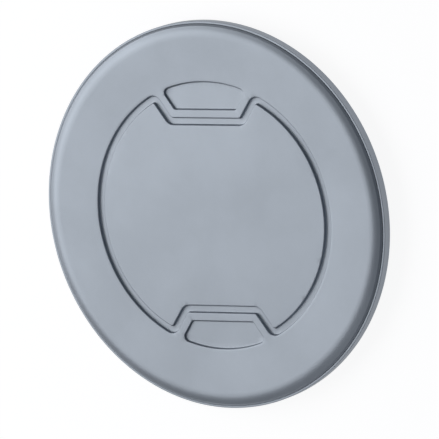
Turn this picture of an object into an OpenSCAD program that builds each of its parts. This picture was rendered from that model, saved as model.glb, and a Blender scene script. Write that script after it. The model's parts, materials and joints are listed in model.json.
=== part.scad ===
// Screw-in filter cap: a round face plate seated in a threaded rim ring.
// It lies on the end of its threaded spigot, face up, with the origin on the axis at
// the foot and +Y towards one finger pocket. All sizes are in millimetres.

/* [Thread] */
// Nominal diameter of the filter thread that the cap screws into
thread_d = 82; // [78:0.5:95]
// Length of the threaded spigot below the flange
spigot_h = 2.5; // [1.8:0.1:4]
// Wall of the spigot, from its bore to the crest of the thread
spigot_wall = 2; // [1.4:0.1:3]
// Depth of the thread, which its lead-in and its turned relief share
thread_depth = 0.46; // [0.3:0.02:0.6]
// Width of the turned relief between the thread and the flange
relief_w = 0.4; // [0.2:0.05:0.6]

/* [Rim ring] */
// How far the flange stands out past the thread, on each side
flange_out = 2.1; // [1.5:0.1:4]
// Height of the ring's outer wall, from the flange's back to its front edge
rim_h = 2.35; // [2:0.05:3.2]
// Thickness of that wall beside the face plate
rim_wall = 0.5; // [0.4:0.05:0.9]
// Bevel on the wall's outer front edge
rim_bevel = 0.1; // [0.05:0.05:0.2]
// Bevel on the wall's inner front edge, beside the seam
seam_bevel = 0.05; // [0.02:0.01:0.1]
// Bevel on the flange's back edge
back_bevel = 0.2; // [0.1:0.05:0.4]

/* [Face plate] */
// Thickness of the plate under the crest of its shoulder
plate_t = 2.2; // [2:0.05:2.8]
// How far that crest stands above the ring's front edge
crest_proud = 0.95; // [0.9:0.05:1.1]
// Distance from the plate's outer edge in to the crest
crest_in = 3.25; // [3.2:0.05:3.6]
// How far the flat face lies below the crest
dish = 0.3; // [0.1:0.05:0.4]
// Diameter of the flat face, from which a shallow cone rises to the crest
flat_d = 61; // [60:0.5:63]
// Rounding of the shoulder, over its crest
shoulder_r = 15; // [12:0.5:16]
// Tilt at which the shoulder runs into the crease
shoulder_tilt = 4; // [3:0.5:5]
// Rounding of the crease between the shoulder and the bevelled band
crease_r = 4.5; // [2:0.1:5]
// Tilt of the bevelled band
band_tilt = 20; // [14:1:20]
// Width of the chamfer between the band and the plate's outer edge
edge_w = 0.4; // [0.3:0.05:0.5]
// Drop of that chamfer, which ends a little above the ring's front edge
edge_drop = 0.32; // [0.2:0.02:0.34]

/* [Centre panel] */
// Diameter of the centre panel
panel_d = 56.5; // [54:0.5:58]
// Width of the channel round the panel
channel_w = 1.55; // [1:0.05:1.8]
// Depth of the channel
channel_depth = 0.7; // [0.4:0.05:1.2]
// Rounding of the panel's four cusps
cusp_r = 0.6; // [0.4:0.1:1.2]

/* [Finger pads] */
// Distance from the axis to the straight inner edge of a finger pad
pad_y = 21.7; // [20.5:0.05:22.5]
// Width of that straight edge, corner to corner
pad_w = 17.6; // [14:0.2:19]
// Slant of the pad's two flanks
flank_tilt = 55; // [50:1:60]
// Rounding of the pad's two inner corners
pad_corner_r = 0.85; // [0.5:0.05:1.5]
// Land left between the channel and the pocket
pad_land = 1.9; // [1.6:0.05:2.4]
// Diameter of the circle that the pockets' arched outer edges lie on
arch_d = 59.5; // [58:0.1:60]
// Depth of a finger pocket
pocket_depth = 0.5; // [0.3:0.05:1]
// Rounding of a pocket's two outer corners
pocket_outer_r = 1.1; // [0.6:0.1:1.5]
// Rounding of a pocket's two inner corners
pocket_inner_r = 0.5; // [0.3:0.1:0.9]

/* [Fits] */
// Clearance all round between the plate's edge and the ring's wall
seat_gap = 0.05; // [0.02:0.01:0.1]

/* [Hidden] */
round_fn = 180;
big_step = 2.5;
small_step = 9;
edge_step = 2;
over = 1;
plate_colour = [0.63, 0.66, 0.71];
ring_colour = [0.60, 0.63, 0.69];

// Radii of the ring and of the plate's edge
thread_r = thread_d / 2;
root_r = thread_r - thread_depth;
bore_r = thread_r - spigot_wall;
rim_r = thread_r + flange_out;
seat_r = rim_r - rim_wall;
plate_r = seat_r - seat_gap;
band_r = plate_r - edge_w;
crest_r = plate_r - crest_in;
flat_r = flat_d / 2;

// Heights above the end of the spigot
flange_z = spigot_h;
rim_top_z = flange_z + rim_h;
seam_z = rim_top_z - seam_bevel;
crest_z = rim_top_z + crest_proud;
face_z = crest_z - dish;
shelf_z = crest_z - plate_t;

// Shoulder: an arc over the crest, which the cone from the flat face runs into
shoulder_c = [crest_r, crest_z - shoulder_r];
cone_foot = [flat_r, face_z] - shoulder_c;
cone_a = atan2(cone_foot.y, cone_foot.x) - acos(shoulder_r / norm(cone_foot));

// Crease: a tighter arc from the shoulder into the bevelled band
crease_c = polar(shoulder_c, shoulder_r - crease_r, 90 - shoulder_tilt);
crease_end = polar(crease_c, crease_r, 90 - band_tilt);
band_z = crease_end.y - (band_r - crease_end.x) * tan(band_tilt);
edge_z = band_z - edge_drop;

// Middle line of the channel: a straight run past the pad, then its slanted flank
channel_r = panel_d / 2 + channel_w / 2;
run_y = pad_y - channel_w / 2;
run_x = pad_w / 2 + channel_w / 2 * tan(flank_tilt / 2);
flank = [cos(flank_tilt), sin(flank_tilt)];
flank_side = [sin(flank_tilt), -cos(flank_tilt)];

// Its turn from the straight run into the flank
turn_r = pad_corner_r + channel_w / 2;
turn_c = [run_x - turn_r * tan(flank_tilt / 2), run_y + turn_r];

// Its turn from the flank into the big circle
cusp_line_r = cusp_r + channel_w / 2;
cusp_start = [run_x, run_y] + cusp_line_r * flank_side;
cusp_c = cusp_start + reach(cusp_start, channel_r - cusp_line_r) * flank;
cusp_a = atan2(cusp_c.y, cusp_c.x);

// Outline of a pocket, which keeps its land inside the pad
pocket_y = pad_y + pad_land;
pocket_x = pad_w / 2 - pad_land * tan(flank_tilt / 2);
arch_r = arch_d / 2;
inner_c = [pocket_x - pocket_inner_r * tan(flank_tilt / 2), pocket_y + pocket_inner_r];
outer_start = [pocket_x, pocket_y] - pocket_outer_r * flank_side;
outer_c = outer_start + reach(outer_start, arch_r - pocket_outer_r) * flank;
outer_a = atan2(outer_c.y, outer_c.x);

// How far to go from p along the flank's direction to be r away from the axis
function reach(p, r) = sqrt((p * flank) ^ 2 - p * p + r * r) - p * flank;

// The point at distance r and angle a from c
function polar(c, r, a) = c + r * [cos(a), sin(a)];

// Points along an arc about c, from angle a to angle b, a few degrees apart
function arc(c, r, a, b, step) =
    let(n = ceil(abs(b - a) / step))
        [for (i = [0 : n]) polar(c, r, a + (b - a) * i / n)];

// Points in the opposite order, mirrored to the other side of the Y axis
function mirrored(points) = [for (i = [len(points) - 1 : -1 : 0]) [-points[i].x, points[i].y]];

// Points turned half round the axis
function opposite(points) = [for (p = points) -p];

// The channel's jog on the right of the pad at +Y, pushed out from its middle line
function jog(out) = concat(
    arc(cusp_c, cusp_line_r + out, cusp_a, 90 + flank_tilt, small_step),
    arc(turn_c, turn_r - out, flank_tilt - 90, -90, small_step)
);

// The big arc on the right, without its two ends
function side_arc(out) =
    let(points = arc([0, 0], channel_r + out, -cusp_a, cusp_a, big_step))
        [for (i = [1 : len(points) - 2]) points[i]];

// One edge of the channel: out is half its width for the outer edge, or minus that for the inner
module channel_edge(out) {
    half = concat(side_arc(out), jog(out), mirrored(jog(out)));
    polygon(concat(half, opposite(half)));
}

// The channel: a big arc on each side, jogging in round the finger pads at top and bottom
module channel()
    translate([0, 0, face_z - channel_depth])
        linear_extrude(channel_depth + over)
            difference() {
                channel_edge(channel_w / 2);
                channel_edge(-channel_w / 2);
            }

// Outline of the pocket at +Y: an arch, two slanted flanks and a straight inner edge
module pocket_outline() {
    arch = arc([0, 0], arch_r, 90, outer_a, big_step);
    side = concat(
        [for (i = [1 : len(arch) - 2]) arch[i]],
        arc(outer_c, pocket_outer_r, outer_a, flank_tilt - 90, small_step),
        arc(inner_c, pocket_inner_r, flank_tilt - 90, -90, small_step)
    );
    polygon(concat([[0, arch_r]], side, mirrored(side)));
}

// A finger pocket at each end
module pockets()
    for (turn = [0, 180])
        rotate(turn)
            translate([0, 0, face_z - pocket_depth])
                linear_extrude(pocket_depth + over)
                    pocket_outline();

// The plate's section, from the axis to its edge
module plate_section() {
    shoulder = arc(shoulder_c, shoulder_r, 90 - shoulder_tilt, cone_a, edge_step);
    polygon(concat(
        [[0, shelf_z], [plate_r, shelf_z], [plate_r, edge_z], [band_r, band_z]],
        arc(crease_c, crease_r, 90 - band_tilt, 90 - shoulder_tilt, edge_step),
        [for (i = [1 : len(shoulder) - 1]) shoulder[i]],
        [[flat_r, face_z], [0, face_z]]
    ));
}

// Face plate: a turned, slightly dished disc with a milled channel and two finger pockets
module face_plate()
    color(plate_colour)
        difference() {
            rotate_extrude($fn = round_fn)
                plate_section();
            channel();
            pockets();
        }

// Rim ring: outer wall, shelf that the plate sits on, and threaded spigot
module rim_ring()
    color(ring_colour)
        rotate_extrude($fn = round_fn)
            polygon([
                [bore_r, 0],
                [root_r, 0],
                [thread_r, thread_depth],
                [thread_r, flange_z - relief_w],
                [root_r, flange_z - relief_w],
                [root_r, flange_z],
                [rim_r - back_bevel, flange_z],
                [rim_r, flange_z + back_bevel],
                [rim_r, rim_top_z - rim_bevel],
                [rim_r - rim_bevel, rim_top_z],
                [seat_r + seam_bevel, rim_top_z],
                [seat_r, seam_z],
                [seat_r, shelf_z],
                [bore_r, shelf_z],
            ]);

face_plate();
rim_ring();
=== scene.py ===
# %% [markdown]
# # A screw-in filter cap in satin metal
#
# The cap is a round plate of anodised aluminium, seated in a thin rim ring whose threaded
# spigot screws into the front of a lens or filter. It has no moving parts. Everything that
# the eye reads on it is a turned or milled edge, so the work goes into edges and satin metal.
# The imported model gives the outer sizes, and each mesh here is built to them, in metres.

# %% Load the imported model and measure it
import json
import math

import bmesh
import bpy
from mathutils import Matrix, Vector
from mathutils.geometry import delaunay_2d_cdt
from mathutils.kdtree import KDTree


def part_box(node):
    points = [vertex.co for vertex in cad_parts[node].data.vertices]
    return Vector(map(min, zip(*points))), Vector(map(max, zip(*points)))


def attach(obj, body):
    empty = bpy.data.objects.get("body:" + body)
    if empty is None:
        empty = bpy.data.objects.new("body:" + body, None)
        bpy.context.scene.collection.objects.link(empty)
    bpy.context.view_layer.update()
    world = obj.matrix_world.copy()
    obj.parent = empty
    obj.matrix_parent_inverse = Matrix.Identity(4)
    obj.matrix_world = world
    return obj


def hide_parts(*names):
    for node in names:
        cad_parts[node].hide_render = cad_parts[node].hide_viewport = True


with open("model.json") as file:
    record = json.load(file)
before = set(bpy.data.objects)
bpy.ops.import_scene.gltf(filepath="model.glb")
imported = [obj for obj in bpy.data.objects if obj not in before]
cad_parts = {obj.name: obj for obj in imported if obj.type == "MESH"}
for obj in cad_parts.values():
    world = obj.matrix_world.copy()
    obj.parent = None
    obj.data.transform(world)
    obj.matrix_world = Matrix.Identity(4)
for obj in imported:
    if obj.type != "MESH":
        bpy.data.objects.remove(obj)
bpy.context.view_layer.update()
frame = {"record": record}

MM = 0.001
plate_low, plate_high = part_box("face_plate")
ring_low, ring_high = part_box("rim_ring")
plate_r = min(plate_high.x, plate_high.y, -plate_low.x, -plate_low.y)
rim_r = min(ring_high.x, ring_high.y, -ring_low.x, -ring_low.y)
shelf_z, crest_z, rim_top_z = plate_low.z, plate_high.z, ring_high.z
dish = 0.3 * MM
face_z = crest_z - dish
mounts = {mount["name"]: mount for mount in frame["record"]["mounts"]}
thread_r = mounts["filter_thread"]["dims"]["r_mm"] * MM
print(f"The cap is {2 * rim_r / MM:.1f} mm across and {crest_z / MM:.2f} mm high.")

# %% [markdown]
# ## Points that follow a rule
#
# Every outline on this cap is made of circles' arcs and straight runs. One could type the
# points in, but a list of numbers can't be changed later. So a short function makes the
# points of an arc, and every outline below is a sum of such arcs.

# %% Arcs and rounded corners
def polar(centre, radius, degrees):
    """The point at that distance and angle from the centre."""
    turn = math.radians(degrees)
    return (centre[0] + radius * math.cos(turn), centre[1] + radius * math.sin(turn))


def arc(centre, radius, start, end, steps):
    """Evenly spaced points along an arc, with both ends."""
    return [polar(centre, radius, start + (end - start) * i / steps) for i in range(steps + 1)]


def rounded(corners, steps=4):
    """A section's points, where each corner is (r, z, radius) and a radius of 0 stays sharp."""
    points = []
    for i, (r, z, radius) in enumerate(corners):
        here = Vector((r, z))
        if radius == 0:
            points.append(tuple(here))
            continue
        before = (Vector(corners[i - 1][:2]) - here).normalized()
        after = (Vector(corners[(i + 1) % len(corners)][:2]) - here).normalized()
        half = before.angle(after) / 2
        centre = here + (before + after).normalized() * radius / math.sin(half)
        first = here + before * radius / math.tan(half) - centre
        last = here + after * radius / math.tan(half) - centre
        sweep = first.angle_signed(last)
        for k in range(steps + 1):
            spoke = first.copy()
            spoke.rotate(Matrix.Rotation(-sweep * k / steps, 2))
            points.append(tuple(centre + spoke))
    return points


print(f"A quarter turn in two steps: {arc((0, 0), 1, 0, 90, 2)}")

# %% [markdown]
# ## Rings of quads
#
# A turned part is a section spun about the axis: a ring of quads for each step of the
# section. A milled groove with bends is a stack of closed loops that hold the same number of
# points, joined by quads. Both are rings of vertices joined two by two, so one helper that
# makes a ring and one that joins two of them do for the turned and for the milled forms.

# %% Rings of vertices, and sections spun into faces
def ring_of_points(work, points, z):
    """New vertices at one height, one for each point."""
    return [work.verts.new((x, y, z)) for x, y in points]


def join_rings(work, first, second):
    """Quads between two closed rings with the same number of vertices."""
    count = len(first)
    for i in range(count):
        j = (i + 1) % count
        work.faces.new((first[i], first[j], second[j], second[i]))


def circle(radius, steps):
    """Points round a circle about the axis."""
    return arc((0, 0), radius, 0, 360, steps)[:-1]


def spin(work, section, steps):
    """Spins a section of (r, z) points about the axis and gives back its rings."""
    rings = [ring_of_points(work, circle(r, steps), z) for r, z in section]
    for first, second in zip(rings, rings[1:]):
        join_rings(work, first, second)
    return rings


print(f"A circle in four steps: {circle(1, 4)}")

# %% [markdown]
# ## Filling a flat area
#
# What is left are flat areas with holes in them. One big many-sided face would do for a flat
# render, but it shades badly beside rounded lips. So points are strewn on an even grid, clear
# of the edges, and even triangles are drawn between them all. The grid also covers the holes
# and what lies outside, so a triangle is kept only if its middle lies inside the area.

# %% Fill a flat area with even triangles
EDGE_SAMPLES, EDGE_GAP, SAME_POINT = 2, 0.6, 1e-7


def inside(p, borders):
    """True if a ray from p crosses the borders an odd number of times."""
    odd = False
    for a, b in borders:
        if (a.y > p.y) != (b.y > p.y) and p.x < a.x + (p.y - a.y) * (b.x - a.x) / (b.y - a.y):
            odd = not odd
    return odd


def strewn_points(flat, edges, spacing):
    """Points on an even triangular grid that keep clear of the edges."""
    samples = []
    for a, b in edges:
        parts = max(1, round((flat[b] - flat[a]).length / spacing * EDGE_SAMPLES))
        samples += [flat[a].lerp(flat[b], k / parts) for k in range(parts)]
    near = KDTree(len(samples))
    for i, p in enumerate(samples):
        near.insert((p.x, p.y, 0), i)
    near.balance()
    reach = max(p.length for p in flat)
    row_gap = spacing * math.sin(math.radians(60))
    rows, columns = int(reach / row_gap), int(reach / spacing) + 1
    strewn = []
    for row in range(-rows, rows + 1):
        for column in range(-columns, columns + 1):
            p = Vector(((column + row % 2 / 2) * spacing, row * row_gap))
            if near.find((p.x, p.y, 0))[2] > spacing * EDGE_GAP:
                strewn.append(p)
    return strewn


def fill_flat(work, rings, z, spacing):
    """Fills the flat area inside the first ring and outside the others with even triangles."""
    edge_verts = [v for ring in rings for v in ring]
    flat = [Vector((v.co.x, v.co.y)) for v in edge_verts]
    edges, start = [], 0
    for ring in rings:
        edges += [(start + i, start + (i + 1) % len(ring)) for i in range(len(ring))]
        start += len(ring)
    borders = [(flat[a], flat[b]) for a, b in edges]
    flat += strewn_points(flat, edges, spacing)
    points, _, faces, origins, _, _ = delaunay_2d_cdt(flat, edges, [], 0, SAME_POINT)
    made = {}
    for face in faces:
        if not inside(sum((points[k] for k in face), Vector((0, 0))) / len(face), borders):
            continue
        corners = []
        for k in face:
            if k not in made:
                known = [i for i in origins[k] if i < len(edge_verts)]
                made[k] = edge_verts[known[0]] if known else work.verts.new((*points[k], z))
            corners.append(made[k])
        work.faces.new(corners)


unit_square = [Vector(corner) for corner in ((0, 0), (1, 0), (1, 1), (0, 1))]
unit_borders = list(zip(unit_square, unit_square[1:] + unit_square[:1]))
print(f"The middle of a square lies inside it: {inside(Vector((0.5, 0.5)), unit_borders)}")

# %% [markdown]
# ## From faces to a piece
#
# A worked mesh becomes a piece once its faces all look outwards and its shading is smooth
# except at sharp edges. Weighted normals keep a flat area flat right up to its rounded lip,
# which smooth shading alone would tilt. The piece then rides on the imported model's one body
# and takes the place of its plain solid.

# %% Turn worked faces into a piece
SHARP_DEGREES, LARGE_FACES_RULE = 35, 100


def finished_piece(work, name, replaced):
    """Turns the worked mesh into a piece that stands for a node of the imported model."""
    bmesh.ops.recalc_face_normals(work, faces=work.faces)
    mesh = bpy.data.meshes.new(name)
    work.to_mesh(mesh)
    work.free()
    mesh.shade_smooth()
    mesh.set_sharp_from_angle(angle=math.radians(SHARP_DEGREES))
    piece = bpy.data.objects.new(name, mesh)
    bpy.context.scene.collection.objects.link(piece)
    even = piece.modifiers.new("even shading", "WEIGHTED_NORMAL")
    even.keep_sharp = True
    even.weight = LARGE_FACES_RULE
    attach(piece, "root")
    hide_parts(replaced)
    print(f"{name}: {len(mesh.polygons)} faces")
    return piece


print(f"Edges that turn more than {SHARP_DEGREES} degrees stay sharp.")

# %% [markdown]
# ## The outline of the channel
#
# A channel runs round the centre panel. It follows one big circle, and at the top and the
# bottom it jogs inwards round a finger pad: a cusp, a slanted flank, a tight turn and a
# straight run. If every arc keeps its centre while its radius grows or shrinks, the outline
# moves out or in by the same amount everywhere. That is how one function gives the channel's
# walls, its rounded lips and the fillets at its floor.

# %% Outline of the channel, at any distance from its middle line
channel_w, channel_depth = 1.55 * MM, 0.74 * MM
panel_r = 28.25 * MM
pad_y, pad_half_w = 21.7 * MM, 8.8 * MM
flank_tilt = 55
pad_corner_r, cusp_r = 0.85 * MM, 0.6 * MM

flank = Vector((math.cos(math.radians(flank_tilt)), math.sin(math.radians(flank_tilt))))
flank_side = Vector((flank.y, -flank.x))
half_turn = math.tan(math.radians(flank_tilt / 2))


def slide_to_circle(p, radius):
    """Moves p along the flank's direction until it is that far from the axis."""
    along = p.dot(flank)
    return p + flank * (math.sqrt(along ** 2 - p.length_squared + radius ** 2) - along)


channel_r = panel_r + channel_w / 2
run_corner = Vector((pad_half_w + channel_w / 2 * half_turn, pad_y - channel_w / 2))
turn_r = pad_corner_r + channel_w / 2
turn_c = run_corner + Vector((-turn_r * half_turn, turn_r))
cusp_line_r = cusp_r + channel_w / 2
cusp_c = slide_to_circle(run_corner + cusp_line_r * flank_side, channel_r - cusp_line_r)
cusp_angle = math.degrees(math.atan2(cusp_c.y, cusp_c.x))
SIDE_STEPS, CUSP_STEPS, TURN_STEPS, RUN_STEPS = 90, 14, 10, 10


def mirrored(points):
    """The same points on the other side of the Y axis, in the opposite order."""
    return [(-x, y) for x, y in reversed(points)]


def channel_outline(out):
    """The closed outline that lies that far outside the channel's middle line."""
    side = arc((0, 0), channel_r + out, -cusp_angle, cusp_angle, SIDE_STEPS)[1:-1]
    jog = arc(cusp_c, cusp_line_r + out, cusp_angle, 90 + flank_tilt, CUSP_STEPS)
    jog += arc(turn_c, turn_r - out, flank_tilt - 90, -90, TURN_STEPS)
    right_x, run_y = jog[-1]
    run = [(right_x * (1 - 2 * k / RUN_STEPS), run_y) for k in range(1, RUN_STEPS)]
    half = side + jog + run + mirrored(jog)
    return half + [(-x, -y) for x, y in half]


print(f"The channel has {len(channel_outline(0))} points a loop.")

# %% [markdown]
# ## The outline of a finger pocket
#
# The pocket keeps an even land inside the pad. It has an arched outer edge, two slanted
# flanks and a straight inner edge, and its corners are arcs too, so that it can be drawn
# larger or smaller in the same way.

# %% Outline of the finger pocket at +Y, at any distance inside its wall
pad_land, pocket_depth = 1.9 * MM, 0.6 * MM
arch_r = 29.75 * MM
pocket_outer_r, pocket_inner_r = 1.1 * MM, 0.5 * MM

inner_corner = Vector((pad_half_w - pad_land * half_turn, pad_y + pad_land))
inner_c = inner_corner + Vector((-pocket_inner_r * half_turn, pocket_inner_r))
outer_c = slide_to_circle(inner_corner - pocket_outer_r * flank_side, arch_r - pocket_outer_r)
outer_angle = math.degrees(math.atan2(outer_c.y, outer_c.x))
ARCH_STEPS, OUTER_STEPS, INNER_STEPS = 16, 10, 6


def pocket_outline(inset):
    """The closed outline that lies that far inside the pocket's wall."""
    side = arc((0, 0), arch_r - inset, 90, outer_angle, ARCH_STEPS)[1:-1]
    side += arc(outer_c, pocket_outer_r - inset, outer_angle, flank_tilt - 90, OUTER_STEPS)
    side += arc(inner_c, pocket_inner_r - inset, flank_tilt - 90, -90, INNER_STEPS)
    right_x, run_y = side[-1]
    run = [(right_x * (1 - 2 * k / RUN_STEPS), run_y) for k in range(1, RUN_STEPS)]
    return [(0, arch_r - inset)] + side + run + mirrored(side)


print(f"A finger pocket has {len(pocket_outline(0))} points a loop.")

# %% [markdown]
# ## The face plate
#
# The real plate is turned first: its flat middle lies in a shallow cone that rises to the
# crest of a broad shoulder, and a soft crease leads from there to a bevelled band. Then the
# channel and the pockets are milled. No edge is left quite sharp: the cutter and the bead
# blasting leave a rounding on every lip and a fillet at every floor, and the thin lines in the
# photograph are these roundings. So the sections that are spun and lofted hold them all.

# %% Sections of the plate's edge and of a milled wall
flat_r, crest_in = 30.5 * MM, 2.7 * MM
shoulder_r, shoulder_tilt = 11 * MM, 2.5
crease_r, band_tilt = 4.3 * MM, 20
edge_w, edge_drop = 0.4 * MM, 0.38 * MM
back_land, back_edge_r = 1 * MM, 0.15 * MM
edge_r, band_edge_r = 0.04 * MM, 0.08 * MM
lip_r, floor_r = 0.24 * MM, 0.24 * MM
LIP_STEPS, CREASE_STEPS, SHOULDER_STEPS, CONE_STEPS = 5, 10, 8, 6


def wall_section(depth):
    """(distance from the wall, height) down a recess's wall, from the lip to the floor."""
    lip = arc((-lip_r, face_z - lip_r), lip_r, 90, 0, LIP_STEPS)
    floor = arc((floor_r, face_z - depth + floor_r), floor_r, 180, 270, LIP_STEPS)
    return lip + floor


def plate_edge_section():
    """The turned edge, from the back of the plate up to its flat face."""
    band_r = plate_r - edge_w
    shoulder_c = (plate_r - crest_in, crest_z - shoulder_r)
    cone_foot = Vector((flat_r, face_z))
    cone_run = cone_foot - Vector(shoulder_c)
    cone_angle = math.atan2(cone_run.y, cone_run.x) - math.acos(shoulder_r / cone_run.length)
    cone_angle = math.degrees(cone_angle)
    crease_c = polar(shoulder_c, shoulder_r - crease_r, 90 - shoulder_tilt)
    crease_end = polar(crease_c, crease_r, 90 - band_tilt)
    band_drop = (band_r - crease_end[0]) * math.tan(math.radians(band_tilt))
    corners = [
        (plate_r - back_land, shelf_z, 0),
        (plate_r, shelf_z, back_edge_r),
        (plate_r, crease_end[1] - band_drop - edge_drop, edge_r),
        (band_r, crease_end[1] - band_drop, band_edge_r),
        (crease_end[0], crease_end[1], 0),
    ]
    crease = arc(crease_c, crease_r, 90 - band_tilt, 90 - shoulder_tilt, CREASE_STEPS)[1:]
    shoulder = arc(shoulder_c, shoulder_r, 90 - shoulder_tilt, cone_angle, SHOULDER_STEPS)[1:]
    cone_top = Vector(shoulder[-1])
    cone = [tuple(cone_top.lerp(cone_foot, k / CONE_STEPS)) for k in range(1, CONE_STEPS + 1)]
    return rounded(corners)[:-1] + [crease_end] + crease + shoulder + cone


print(f"The plate's edge has {len(plate_edge_section())} points from back to face.")

# %% [markdown]
# ## Spin, loft and fill
#
# A boolean cut with a bevel on top could mill the plate, but it leaves ragged faces. So its
# edge is spun, the walls of the channel and of the pockets are lofted, and the flat areas are
# filled last. These take over the very vertices that the others end in, so nothing gapes.

# %% Build the face plate
ROUND_STEPS = 288
pocket_spacing, back_spacing = 1.2 * MM, 2.5 * MM
face_spacing, panel_spacing = 1.4 * MM, 1.8 * MM


def build_plate():
    """The plate's mesh: a turned edge, a lofted channel, two pockets and flat areas between."""
    work = bmesh.new()
    edge = spin(work, plate_edge_section(), ROUND_STEPS)
    wall = wall_section(channel_depth)
    outer = [ring_of_points(work, channel_outline(channel_w / 2 - d), z) for d, z in wall]
    inner = [ring_of_points(work, channel_outline(d - channel_w / 2), z) for d, z in wall]
    channel = outer + inner[::-1]
    for first, second in zip(channel, channel[1:]):
        join_rings(work, first, second)
    mouths = []
    for side in (1, -1):
        loops = []
        for inset, z in wall_section(pocket_depth):
            points = [(side * x, side * y) for x, y in pocket_outline(inset)]
            loops.append(ring_of_points(work, points, z))
        for first, second in zip(loops, loops[1:]):
            join_rings(work, first, second)
        fill_flat(work, [loops[-1]], face_z - pocket_depth, pocket_spacing)
        mouths.append(loops[0])
    fill_flat(work, [edge[0]], shelf_z, back_spacing)
    fill_flat(work, [edge[-1], outer[0], *mouths], face_z, face_spacing)
    fill_flat(work, [inner[0]], face_z, panel_spacing)
    return finished_piece(work, "satin_face_plate", "face_plate")


plate = build_plate()

# %% [markdown]
# ## The filter thread
#
# The thread is the standard one for filters of this size, with a pitch of 0.75 mm and flanks
# at 60 degrees to each other. A thread is a cylinder whose radius depends on height and angle
# together: each time round, the whole pattern climbs by one pitch. So the radius is worked out
# point by point, which gives the real helix. A stack of plain rings would look much the same
# from afar, but nothing could be screwed onto it.

# %% Radius of the thread at any height and angle
pitch, thread_depth = 0.75 * MM, 0.46 * MM
crest_w, flank_degrees = pitch / 8, 30
flank_run = math.tan(math.radians(flank_degrees))
spigot_h, relief_w = 2.5 * MM, 0.4 * MM
thread_top = spigot_h - relief_w


def thread_radius(z, turns):
    """The spigot's radius at a height, that many turns round the axis."""
    phase = (z / pitch - turns + 0.5) % 1 - 0.5
    drop = (abs(phase) * pitch - crest_w / 2) / flank_run
    cut = min(max(drop, 0), thread_depth)
    lead_in = thread_r - thread_depth + z
    return min(thread_r - cut, lead_in)


print(f"The thread makes {thread_top / pitch:.1f} turns.")

# %% [markdown]
# ## The rim ring
#
# The ring is turned from tube: an outer wall, a shelf that the plate sits on, and the spigot.
# A fine grid round the spigot takes the thread's radii, and one spun section makes all the
# rest, from the relief above the thread round to the bore and the foot.

# %% Build the rim ring
THREAD_ROWS = 60
spigot_wall, rim_wall = 2 * MM, 0.5 * MM
rim_bevel, seam_bevel, back_bevel = 0.06 * MM, 0.05 * MM, 0.2 * MM
soft, foot_land = 0.024 * MM, 0.1 * MM
bore_r, seat_r = thread_r - spigot_wall, rim_r - rim_wall


def build_ring():
    """The ring's mesh: a grid for the thread, and a spun section for all the rest."""
    work = bmesh.new()
    root_r = thread_r - thread_depth
    rings = []
    for row in range(THREAD_ROWS + 1):
        z = thread_top * row / THREAD_ROWS
        points = []
        for k in range(ROUND_STEPS):
            points.append(polar((0, 0), thread_radius(z, k / ROUND_STEPS), 360 * k / ROUND_STEPS))
        rings.append(ring_of_points(work, points, z))
    for first, second in zip(rings, rings[1:]):
        join_rings(work, first, second)
    corners = [
        (root_r, thread_top, 0),
        (root_r, spigot_h, 2 * soft),
        (rim_r - back_bevel, spigot_h, soft),
        (rim_r, spigot_h + back_bevel, soft),
        (rim_r, rim_top_z - rim_bevel, soft),
        (rim_r - rim_bevel, rim_top_z, soft),
        (seat_r + seam_bevel, rim_top_z, soft / 3),
        (seat_r, rim_top_z - seam_bevel, soft / 3),
        (seat_r, shelf_z, 0),
        (bore_r, shelf_z, 3 * soft),
        (bore_r, 0, 3 * soft),
        (root_r - foot_land, 0, 0),
    ]
    spun = spin(work, rounded(corners), ROUND_STEPS)
    join_rings(work, rings[-1], spun[0])
    join_rings(work, spun[-1], rings[0])
    return finished_piece(work, "threaded_rim_ring", "rim_ring")


ring = build_ring()

# %% [markdown]
# ## Shader sums in plain Python
#
# Procedural materials need a good deal of arithmetic on masks and noise. Wiring each Math
# node by hand hides the idea, so one small class wraps a socket: adding, subtracting or
# multiplying two of them makes the Math node. Any other node comes from its `add` method.

# %% A wire between shader nodes
class Wire:
    """One output of a shader node, or just its tree. Sums of wires add their Math nodes."""

    def __init__(self, tree, socket=None):
        self.tree = tree
        self.socket = socket

    def add(self, kind, settings=None, inputs=None, output=0):
        """Adds a node, sets it up, feeds its sockets and gives back one of its outputs."""
        node = self.tree.nodes.new(kind)
        for name, value in (settings or {}).items():
            setattr(node, name, value)
        for name, value in (inputs or {}).items():
            if isinstance(value, Wire):
                self.tree.links.new(value.socket, node.inputs[name])
            else:
                node.inputs[name].default_value = value
        return Wire(self.tree, node.outputs[output])

    def sum_with(self, operation, first, second):
        """A Math node on two values, each a wire or a number."""
        return self.add("ShaderNodeMath", {"operation": operation}, {0: first, 1: second})

    def __add__(self, other):
        return self.sum_with("ADD", self, other)

    def __sub__(self, other):
        return self.sum_with("SUBTRACT", self, other)

    def __rsub__(self, other):
        return self.sum_with("SUBTRACT", other, self)

    def __mul__(self, other):
        return self.sum_with("MULTIPLY", self, other)

    __radd__ = __add__
    __rmul__ = __mul__

    def clamped(self, low, high):
        """0 below the low value, 1 above the high one, and a smooth rise between."""
        settings = {"interpolation_type": "SMOOTHSTEP", "clamp": True}
        return self.add("ShaderNodeMapRange", settings, {"Value": self, 1: low, 2: high})

    def blend_colours(self, first, second, factor):
        """A Mix node on two colours, each a wire or red, green and blue."""
        first, second = [c if isinstance(c, Wire) else (*c, 1) for c in (first, second)]
        settings = {"data_type": "RGBA"}
        return self.add("ShaderNodeMix", settings, {0: factor, 6: first, 7: second}, 2)

    def noise(self, place, scale, detail=2.0, roughness=0.5):
        """Noise from 0 to 1 at a place, with that many bumps a metre."""
        inputs = {"Vector": place, "Scale": scale, "Detail": detail, "Roughness": roughness}
        return self.add("ShaderNodeTexNoise", {}, inputs)


print("Wires can be added, subtracted, multiplied, clamped and blended.")

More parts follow.
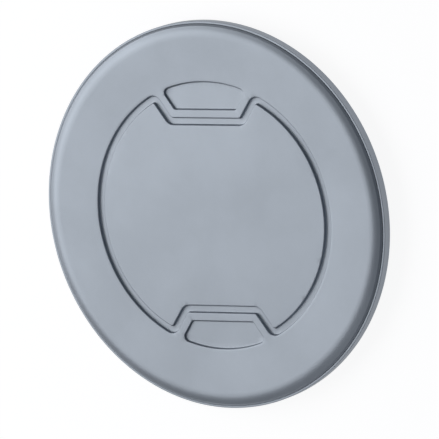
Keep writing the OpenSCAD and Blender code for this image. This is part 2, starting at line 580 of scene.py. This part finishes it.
# %% [markdown]
# ## Bead-blasted, anodised aluminium
#
# Blasting with fine beads leaves a dull, even skin of tiny dents, and the anodised layer over
# it is dyed blue-grey. Close up the colour is a little cloudy, handling leaves faint smudges
# that change the roughness, and the dents make the light sparkle slightly. It is a metal with
# a middling roughness, so nearly all of its brightness is a blurred reflection of the studio.

# %% Make the two finishes
cloud_size, smudge_size = 18 * MM, 4 * MM
DARKEST, LIGHTEST = 0.93, 1.06
CLOUD_SHARE, SMUDGE_SHARE, GRAIN_SHARE = 0.6, 0.25, 0.15
SMUDGE_DULLING, GRAIN_DULLING, DENT_STRENGTH = 0.06, 0.05, 0.35


def new_material(name):
    """A new material, its start wire and its shader node."""
    material = bpy.data.materials.new(name)
    material.use_nodes = True
    tree = material.node_tree
    shader = tree.nodes["Principled BSDF"]
    return material, Wire(tree), shader


def feed(start, shader, name, wire):
    """Links a wire to one of the shader's sockets."""
    start.tree.links.new(wire.socket, shader.inputs[name])


def blasted_metal(name, colour, roughness, grain_size, grain_height):
    """A dyed satin metal with a grain of fine dents."""
    material, start, shader = new_material(name)
    place = start.add("ShaderNodeTexCoord", output=3)
    cloud = start.noise(place, 1 / cloud_size, 3.0)
    smudge = start.noise(place, 1 / smudge_size, 4.0, 0.6)
    grain = start.noise(place, 1 / grain_size, 3.0, 0.6)
    darker = [c * DARKEST for c in colour]
    lighter = [c * LIGHTEST for c in colour]
    tint = cloud * CLOUD_SHARE + smudge * SMUDGE_SHARE + grain * GRAIN_SHARE
    skin = start.blend_colours(darker, lighter, tint.clamped(0.3, 0.7))
    feed(start, shader, "Base Color", skin)
    shader.inputs["Metallic"].default_value = 1.0
    dulled = roughness + (smudge - 0.5) * SMUDGE_DULLING + (grain - 0.5) * GRAIN_DULLING
    feed(start, shader, "Roughness", dulled)
    inputs = {"Strength": DENT_STRENGTH, "Distance": grain_height, "Height": grain}
    feed(start, shader, "Normal", start.add("ShaderNodeBump", {}, inputs))
    print(f"{name}: {len(start.tree.nodes)} nodes")
    return material


plate_blue, ring_blue = (0.425, 0.467, 0.52), (0.362, 0.398, 0.445)
plate_finish = blasted_metal("blasted_plate", plate_blue, 0.44, 0.16 * MM, 0.01 * MM)
ring_finish = blasted_metal("satin_ring", ring_blue, 0.40, 0.12 * MM, 0.008 * MM)
plate.data.materials.append(plate_finish)
ring.data.materials.append(ring_finish)

# %% [markdown]
# ## The table
#
# The cap lies face up on a white table. Strong lamps could make the table white, but they
# would bleach the metal too. So the table glows white where the camera sees it, and more
# weakly in reflections, and it keeps a part of its shading, so that the shadow stays. It lies
# a hair below the cap's foot, because two faces in one plane would flicker.

# %% Lay the table
table_half, table_drop = 3.0, 0.02 * MM
table_white, table_roughness, glow_strength = (0.9, 0.9, 0.93, 1), 0.9, 1.2
GLOW_SHARE, GLOW_IN_REFLECTIONS = 0.75, 0.6


def make_table():
    """A white floor that keeps a faint shadow."""
    work = bmesh.new()
    corners = [(x * table_half, y * table_half) for x, y in ((-1, -1), (1, -1), (1, 1), (-1, 1))]
    work.faces.new(ring_of_points(work, corners, -table_drop))
    mesh = bpy.data.meshes.new("white_table")
    work.to_mesh(mesh)
    work.free()
    table = bpy.data.objects.new("white_table", mesh)
    bpy.context.scene.collection.objects.link(table)
    material, start, shader = new_material("white_table")
    shader.inputs["Base Color"].default_value = table_white
    shader.inputs["Roughness"].default_value = table_roughness
    shader.inputs["Specular IOR Level"].default_value = 0.0
    light_path = "ShaderNodeLightPath"
    seen = start.add(light_path) + start.add(light_path, output=3) * GLOW_IN_REFLECTIONS
    lit = {"Color": (1, 1, 1, 1), "Strength": glow_strength}
    glow = start.add("ShaderNodeEmission", {}, lit)
    inputs = {0: seen * GLOW_SHARE, 1: Wire(start.tree, shader.outputs[0]), 2: glow}
    mixed = start.add("ShaderNodeMixShader", {}, inputs)
    output = start.tree.nodes["Material Output"]
    start.tree.links.new(mixed.socket, output.inputs["Surface"])
    table.data.materials.append(material)
    print(f"The table is {2 * table_half:.0f} m wide.")


make_table()

# %% [markdown]
# ## The room
#
# Satin metal looks like a blur of what surrounds it, and an even grey room would make it look
# flat. So the room grows lighter towards the main lamp's side, and the bevelled band goes from
# light to dark as it turns away. The camera itself sees the room as white.

# %% Make the room
def make_room(dark_side, light_side, towards_light):
    """A room that grows lighter towards one side, and that the camera sees as white."""
    world = bpy.data.worlds.new("dim_room")
    world.use_nodes = True
    bpy.context.scene.world = world
    start = Wire(world.node_tree)
    seen = start.add("ShaderNodeLightPath")
    background = world.node_tree.nodes["Background"]
    direction = start.add("ShaderNodeTexCoord")
    settings, inputs = {"operation": "DOT_PRODUCT"}, {0: direction, 1: towards_light}
    facing = start.add("ShaderNodeVectorMath", settings, inputs, 1)
    room = start.blend_colours(dark_side, light_side, facing * 0.5 + 0.5)
    colour = start.blend_colours(room, (1, 1, 1), seen)
    world.node_tree.links.new(colour.socket, background.inputs["Color"])
    print(f"The room has {len(world.node_tree.nodes)} nodes.")


make_room((0.092, 0.105, 0.122), (0.30, 0.305, 0.32), (-1, 0.1, 0))

# %% [markdown]
# ## The lamps
#
# A large soft lamp stands where the flat face mirrors it towards the camera, so the face is
# bright and even. A second one, far weaker, stands to one side and keeps the shadows open. A
# sun would be simpler, but a satin face mirrors it as a small hot spot.

# %% Hang the lamps
lamp_distance = 0.6


def soft_lamp(name, direction, size, power):
    """A round lamp that looks at the cap from that direction."""
    lamp = bpy.data.lights.new(name, "AREA")
    lamp.shape = "DISK"
    lamp.size = size
    lamp.energy = power
    holder = bpy.data.objects.new(name, lamp)
    away = Vector(direction).normalized()
    holder.location = away * lamp_distance
    holder.rotation_mode = "QUATERNION"
    holder.rotation_quaternion = away.to_track_quat("Z", "Y")
    bpy.context.scene.collection.objects.link(holder)
    print(f"{name}: {size} m wide, {power} W")


soft_lamp("key_lamp", (-0.70, 0.12, 0.70), size=0.62, power=1.30)
soft_lamp("side_lamp", (0.05, -0.6, 0.8), size=0.3, power=0.05)

# %% [markdown]
# ## The camera
#
# The photograph was taken from a few steps away with a long lens, a little from the right. So
# the camera stands far off and looks down on the lying cap from that same side of its face,
# and it is rolled until one finger pocket is at the top.

# %% Place the camera
camera_azimuth, camera_elevation, camera_roll = 107.09, 56.77, -109.19
camera_distance = 2190.7 * MM
aim = Vector((1.43 * MM, -0.815 * MM, face_z))
photo_width_px, focal_px, sensor_mm = 439, 10000, 36
nearest, farthest = 0.1, 20

azimuth, elevation = math.radians(camera_azimuth), math.radians(camera_elevation)
back = Vector((
    math.sin(azimuth) * math.cos(elevation),
    -math.cos(azimuth) * math.cos(elevation),
    math.sin(elevation),
))
level_right = Vector((math.cos(azimuth), math.sin(azimuth), 0))
right = Matrix.Rotation(math.radians(camera_roll), 3, back) @ level_right
lens = bpy.data.cameras.new("camera")
lens.sensor_width = sensor_mm
lens.lens = focal_px / photo_width_px * sensor_mm
lens.clip_start, lens.clip_end = nearest, farthest
camera = bpy.data.objects.new("camera", lens)
camera.matrix_world = Matrix.Translation(aim + back * camera_distance) @ Matrix(
    (right, back.cross(right), back)
).transposed().to_4x4()
bpy.context.scene.collection.objects.link(camera)
bpy.context.scene.camera = camera
bpy.context.scene.view_settings.view_transform = "Standard"
print(f"The lens is {lens.lens:.0f} mm long.")
